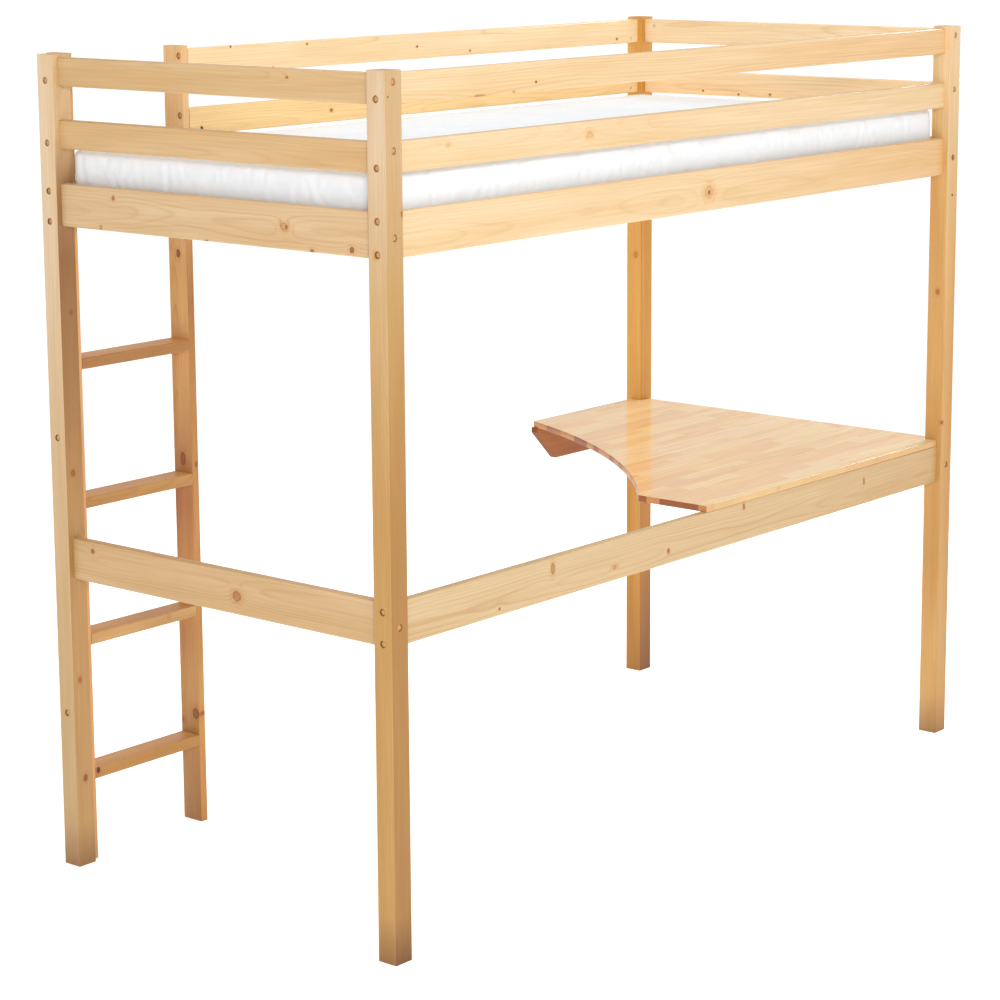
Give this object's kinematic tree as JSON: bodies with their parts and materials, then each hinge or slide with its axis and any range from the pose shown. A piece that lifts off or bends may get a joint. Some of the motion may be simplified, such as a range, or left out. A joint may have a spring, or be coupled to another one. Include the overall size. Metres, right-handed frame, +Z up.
{
  "type": "loft bed with desk",
  "caption": "High single bed of bolted pine with guard rails, a fixed ladder at the back, a slatted base, a mattress and a desktop with a curved cut-out below.",
  "frame": {"origin": "middle of the footprint, on the floor", "axes": "+X along the bed towards the desk end, +Y across the bed towards the ladder side, +Z up"},
  "size_m": [2.078, 1.002, 1.766],
  "materials": {
    "post_pine": "clear satin lacquer on knotty pine",
    "rail_pine": "clear satin lacquer on knotty pine",
    "ladder_pine": "clear satin lacquer on knotty pine",
    "base_pine": "planed, unlacquered pine",
    "desktop_pine": "glossy lacquer on finger-jointed, edge-glued pine staves",
    "cap_wood_tone": "satin, wood coloured",
    "dowel_beech": "raw fluted beech",
    "steel": "zinc plated",
    "mattress_cover": "fine white cotton cover"
  },
  "bodies": {
    "frame": {"post_front_left": "post_pine", "post_front_right": "post_pine", "post_back_right": "post_pine", "post_back_left": "post_pine", "ladder_stile_left": "ladder_pine", "ladder_stile_right": "ladder_pine", "side_board_front": "rail_pine", "side_board_back": "rail_pine", "end_board_left": "rail_pine", "end_board_right": "rail_pine", "guard_rail_front_upper": "rail_pine", "guard_rail_front_lower": "rail_pine", "guard_rail_right_upper": "rail_pine", "guard_rail_right_lower": "rail_pine", "guard_rail_back_upper": "rail_pine", "guard_rail_back_lower": "rail_pine", "guard_rail_left_upper": "rail_pine", "guard_rail_left_lower": "rail_pine", "desk_rail_front": "rail_pine", "desk_rail_right": "rail_pine", "desk_rail_back": "rail_pine", "desk_rail_left": "rail_pine", "desktop": "desktop_pine", "slat_ledger_front": "base_pine", "slat_ledger_back": "base_pine", "rung_1": "ladder_pine", "rung_2": "ladder_pine", "rung_3": "ladder_pine", "rung_4": "ladder_pine", "slat_1": "base_pine", "slat_2": "base_pine", "slat_3": "base_pine", "slat_4": "base_pine", "slat_5": "base_pine", "slat_6": "base_pine", "slat_7": "base_pine", "slat_8": "base_pine", "slat_9": "base_pine", "slat_10": "base_pine", "slat_11": "base_pine", "slat_12": "base_pine", "slat_13": "base_pine", "slat_14": "base_pine", "frame_bolts": "steel", "barrel_nuts": "steel", "stile_bolts": "steel", "stile_insert_nuts": "steel", "guard_screws": "steel", "rung_screws": "steel", "ledger_screws": "steel", "slat_screws": "steel", "desk_angle_brackets": "steel", "desk_bracket_screws": "steel", "bolt_caps": "cap_wood_tone", "rail_dowels": "dowel_beech"},
    "mattress": {"mattress": "mattress_cover"}
  },
  "joints": [
    {"name": "mattress_lift", "type": "slide", "parent": "frame", "child": "mattress", "axis": [0, 0, 1], "range_m": [0, 0.32]}
  ]
}
